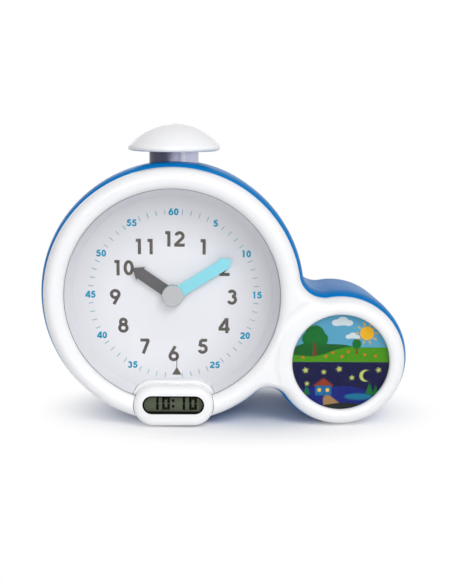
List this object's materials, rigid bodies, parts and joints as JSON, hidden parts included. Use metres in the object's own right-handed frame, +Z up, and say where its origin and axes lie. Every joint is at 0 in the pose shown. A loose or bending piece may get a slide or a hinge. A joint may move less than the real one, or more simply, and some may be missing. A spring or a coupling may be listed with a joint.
{
  "type": "alarm clock",
  "caption": "Bedside alarm clock in a figure-eight housing: round dial with hands, a round night-light picture, a small digital display and a domed snooze button.",
  "frame": {"origin": "centre of the bounding box's base, on the surface that the feet stand on", "axes": "+X to the right of the dial as seen from the front, +Y from the dial to the back, +Z up"},
  "size_m": [0.2164, 0.083, 0.1754],
  "materials": {
    "white_gloss": "gloss",
    "blue_gloss": "gloss",
    "clear_lens": "clear polished",
    "pale_surround": "satin",
    "dial_white": "printed matte",
    "grey_satin": "satin",
    "display_clear": "clear with printed edge",
    "display_green": "satin",
    "board_green": "satin",
    "picture_film": "printed translucent",
    "inner_white": "matte",
    "led_clear": "clear",
    "movement_black": "matte",
    "brass": "satin",
    "copper_wire": "satin",
    "hand_grey": "satin",
    "hand_cyan": "satin",
    "hub_grey": "satin",
    "spring_steel": "bright",
    "screw_steel": "bright",
    "switch_black": "matte",
    "speaker_black": "matte",
    "cone_paper": "matte",
    "cell_wrap": "printed wrap",
    "contact_plate": "bright",
    "foot_rubber": "matte"
  },
  "bodies": {
    "clock": {"front_shell": "white_gloss", "rear_shell": "blue_gloss", "dial_lens": "clear_lens", "dial_surround": "pale_surround", "dial_plate": "dial_white", "lcd_pod": "white_gloss", "lcd_window": "display_clear", "lcd_panel": "display_green", "display_board": "board_green", "picture_lens": "clear_lens", "picture_disc": "picture_film", "light_box": "inner_white", "light_board": "board_green", "day_led": "led_clear", "night_led": "led_clear", "movement_case": "movement_black", "movement_lid": "movement_black", "movement_nut": "brass", "drive_coil": "copper_wire", "snooze_guide": "inner_white", "snooze_base": "inner_white", "snooze_spring": "spring_steel", "snooze_switch": "switch_black", "main_board": "board_green", "board_screws": "screw_steel", "button_switches": "switch_black", "slide_switches": "switch_black", "speaker_frame": "speaker_black", "speaker_cone": "cone_paper", "dc_jack": "switch_black", "battery_cells": "cell_wrap", "battery_contacts": "contact_plate", "housing_screws": "screw_steel", "feet": "foot_rubber"},
    "snooze": {"snooze_cap": "white_gloss", "snooze_stem": "grey_satin"},
    "minute": {"minute_arbor": "brass", "minute_hand": "hand_cyan", "hand_cap": "hub_grey"},
    "hour": {"hour_wheel": "brass", "hour_hand": "hand_grey"},
    "setting": {"minute_wheel": "brass", "time_set_knob": "white_gloss"},
    "door": {"battery_door": "blue_gloss", "door_screw": "screw_steel"},
    "alarm_slide": {"alarm_slider": "white_gloss"},
    "volume_slide": {"volume_slider": "white_gloss"},
    "set_push": {"set_button": "white_gloss"},
    "hour_push": {"hour_button": "white_gloss"},
    "minute_push": {"minute_button": "white_gloss"}
  },
  "joints": [
    {"name": "snooze_press", "type": "slide", "parent": "clock", "child": "snooze", "axis": [0, 0, -1], "range_m": [0, 0.0025], "stiffness_N_per_m": 400, "springref_m": -0.002, "deforming": ["snooze_spring"]},
    {"name": "setting_turn", "type": "hinge", "parent": "clock", "child": "setting", "pos_m": [-0.03075, 0.03895, 0.0885], "axis": [0, 1, 0], "continuous": true},
    {"name": "minute_turn", "type": "hinge", "parent": "clock", "child": "minute", "pos_m": [-0.03075, -0.02905, 0.0765], "axis": [0, 1, 0], "continuous": true},
    {"name": "hour_turn", "type": "hinge", "parent": "clock", "child": "hour", "pos_m": [-0.03075, -0.02905, 0.0765], "axis": [0, 1, 0], "continuous": true},
    {"name": "door_hinge", "type": "hinge", "parent": "clock", "child": "door", "pos_m": [-0.03075, 0.03785, 0.017], "axis": [-1, 0, 0], "range_deg": [0, 95]},
    {"name": "alarm_shift", "type": "slide", "parent": "clock", "child": "alarm_slide", "axis": [1, 0, 0], "range_m": [0, 0.004]},
    {"name": "volume_shift", "type": "slide", "parent": "clock", "child": "volume_slide", "axis": [1, 0, 0], "range_m": [0, 0.004]},
    {"name": "set_press", "type": "slide", "parent": "clock", "child": "set_push", "axis": [0, -1, 0], "range_m": [0, 0.0008], "stiffness_N_per_m": 1000, "springref_m": -0.0005},
    {"name": "hour_press", "type": "slide", "parent": "clock", "child": "hour_push", "axis": [0, -1, 0], "range_m": [0, 0.0008], "stiffness_N_per_m": 1000, "springref_m": -0.0005},
    {"name": "minute_press", "type": "slide", "parent": "clock", "child": "minute_push", "axis": [0, -1, 0], "range_m": [0, 0.0008], "stiffness_N_per_m": 1000, "springref_m": -0.0005}
  ],
  "couplings": [
    {"joint": "minute_turn", "follows": "setting_turn", "ratio": -3},
    {"joint": "hour_turn", "follows": "setting_turn", "ratio": -0.25}
  ]
}
